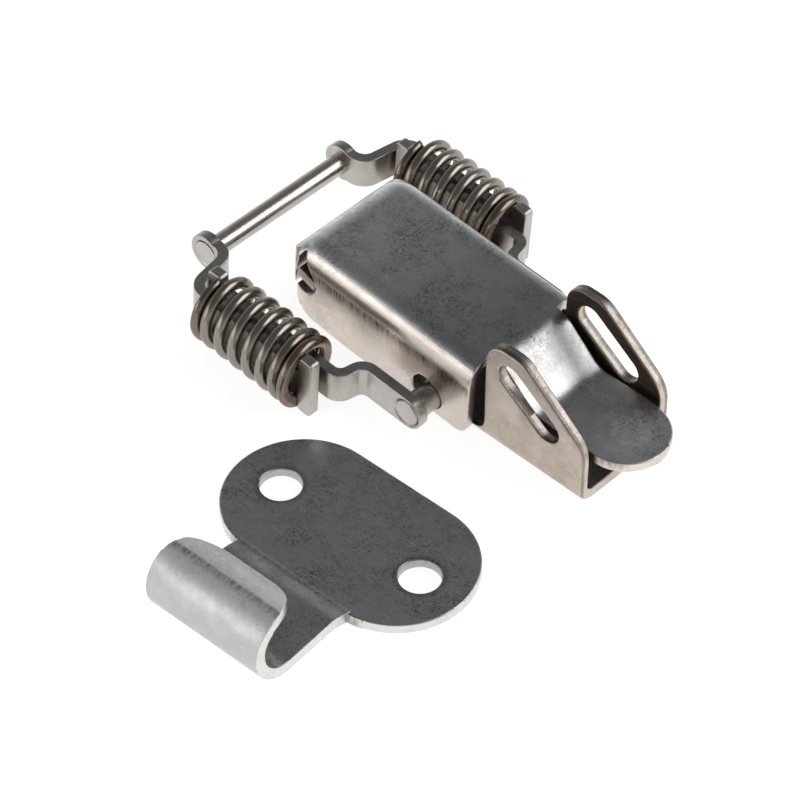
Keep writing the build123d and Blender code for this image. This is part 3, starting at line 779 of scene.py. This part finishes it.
# A darker ring around each hole
HOLE_RING_R = 5.0 * MM
HOLE_RING_LEVEL = 0.6
STRIP_LINE = -54.6 * MM
# The reach of the painted shade along the crease where the strip starts
STRIP_CREASE_SHADE = 1.4 * MM
CREST_LINE = -69.2 * MM
CREST_SCUFF = 1.8 * MM
ROLL_LINE = -69.1 * MM
ROLL_Z = 7.9 * MM
ROLL_REACH = 8.5 * MM
ROLL_OUTWARD = 0.8
crest_way = Vector((-math.sin(CATCH_TURN), math.cos(CATCH_TURN), 0))
# Cool satin grey, darker in a ring around each hole, with painted shade along the crease where the strip
# starts; its flanks painted pale as painted light
catch_steel = tumbled_stainless("tumbled stainless, catch", SHEARED_EASE, face="#aeb0b1", lit_flank="#dedcd9",
                                stain_and_shade="#4c4a48", roughness=0.33, stain_share=0.05, fleck_share=0.65,
                                rub_and_shade={"way": crest_way, "line": STRIP_LINE, "reach": STRIP_CREASE_SHADE,
                                       "strength": 0.7, "flanks_only": False},
                                spots=[(hole, HOLE_R, HOLE_RING_R, HOLE_RING_LEVEL) for hole in HOLE_MIDDLES])
catch = dressed_sheet("catch_plate", "catch_plate_sheet", SHEARED_EASE, catch_steel, "base",
                      CATCH_HOLES_X)
# Duller, stretched in rolling, with a dark line along the crest; painted paler than the plate, as painted
# light that brightens the hook's outside
lit_roll_steel = tumbled_stainless("satin stainless painted lighter, outside of the hook", SHEARED_EASE, face="#eeedec",
                               lit_flank="#cbc9c7", stain_and_shade="#4c4844", roughness=0.55, stain_share=0.05,
                               fleck_share=0.25,
                               rub_and_shade={"way": crest_way, "line": CREST_LINE, "reach": CREST_SCUFF,
                                      "strength": 0.7, "flanks_only": False})
catch.data.materials.append(lit_roll_steel)
# The outer faces of the roll take the paler copy, painted lighter
for face in catch.data.polygons:
    from_roll = Vector((0, crest_way.dot(face.center) - ROLL_LINE, face.center.z - ROLL_Z))
    outward = Vector((0, crest_way.dot(face.normal), face.normal.z))
    if from_roll.y < ROLL_REACH and from_roll.dot(outward) > ROLL_OUTWARD * from_roll.length:
        face.material_index = 1

# Table
# A plain matt white table top that runs out of the picture on every side.
# It glows a little, so that the ground of the picture comes out white.
TABLE_HALF = 1.5
TABLE_Z = -0.02 * MM
table_corners = [(x * TABLE_HALF, y * TABLE_HALF, TABLE_Z) for x, y in ((-1, -1), (1, -1), (1, 1), (-1, 1))]
table_mesh = bpy.data.meshes.new("table_top")
table_mesh.from_pydata(table_corners, [], [(0, 1, 2, 3)])
table = bpy.data.objects.new("table_top", table_mesh)
bpy.context.scene.collection.objects.link(table)
table_paint = bpy.data.materials.new("white table")
table_paint.use_nodes = True
paint = table_paint.node_tree.nodes["Principled BSDF"]
paint.inputs["Base Color"].default_value = linear("#b4b4b4")
paint.inputs["Roughness"].default_value = 0.9
paint.inputs["Emission Color"].default_value = linear("#ffffff")
paint.inputs["Emission Strength"].default_value = 0.85
table_mesh.materials.append(table_paint)

# Studio light
# A pale room that is darker overhead, and two large soft boxes:
# a weak one low on the left and a strong one on the right.
world = bpy.data.worlds.new("studio")
bpy.context.scene.world = world
world.use_nodes = True
sky = world.node_tree
sky.nodes.clear()
sky_way = add(sky, "ShaderNodeTexCoord").outputs["Generated"]
sky_height = add(sky, "ShaderNodeSeparateXYZ", links={"Vector": sky_way})
fade = add(sky, "ShaderNodeMapRange", {"interpolation_type": "SMOOTHSTEP"},
           {"From Min": 0.0, "From Max": 0.8, "To Min": 0.75, "To Max": 0.2},
           {"Value": sky_height.outputs["Z"]})
glow = add(sky, "ShaderNodeBackground", values={"Color": linear("#ffffff")},
           links={"Strength": fade.outputs["Result"]})
add(sky, "ShaderNodeOutputWorld", links={"Surface": glow.outputs["Background"]})


def soft_box(name, azimuth, elevation, distance, width, depth, power):
    """A soft light, in metres and watts, that faces the latch from a bearing (0 is +X, 90 is +Y)."""
    light = bpy.data.lights.new(name, "AREA")
    light.shape = "RECTANGLE"
    light.size = width
    light.size_y = depth
    light.energy = power
    lamp = bpy.data.objects.new(name, light)
    bearing = math.radians(azimuth)
    rise = math.radians(elevation)
    lamp.location = Vector((math.cos(bearing) * math.cos(rise), math.sin(bearing) * math.cos(rise),
                            math.sin(rise))) * distance
    lamp.rotation_euler = (-lamp.location).to_track_quat("-Z", "Y").to_euler()
    bpy.context.scene.collection.objects.link(lamp)


soft_box("left soft box", azimuth=240, elevation=18, distance=0.9, width=0.8, depth=0.4, power=1.4)
soft_box("right soft box", azimuth=46, elevation=39, distance=0.9, width=0.75, depth=0.62, power=4.2)

# Camera
# A long lens from above the latch's rear corner.
# Its bearing, height and distance were fitted to the photograph; lens and sensor are in millimetres.
CAMERA_AZIMUTH = math.radians(44.07)
CAMERA_ELEVATION = math.radians(45.37)
CAMERA_DISTANCE = 569.85 * MM
CAMERA_AIM = Vector((-13.41 * MM, -13.28 * MM, 0))
CAMERA_LENS = 153.9
CAMERA_SENSOR = 36.0
CAMERA_NEAREST = 10 * MM
camera_data = bpy.data.cameras.new("camera")
camera_data.lens = CAMERA_LENS
camera_data.sensor_width = CAMERA_SENSOR
camera_data.clip_start = CAMERA_NEAREST
camera = bpy.data.objects.new("camera", camera_data)
look = Vector((-math.sin(CAMERA_AZIMUTH) * math.cos(CAMERA_ELEVATION),
               math.cos(CAMERA_AZIMUTH) * math.cos(CAMERA_ELEVATION), -math.sin(CAMERA_ELEVATION)))
camera.location = CAMERA_AIM - look * CAMERA_DISTANCE
camera.rotation_euler = look.to_track_quat("-Z", "Y").to_euler()
bpy.context.scene.collection.objects.link(camera)
bpy.context.scene.camera = camera
bpy.context.scene.view_settings.view_transform = "Standard"
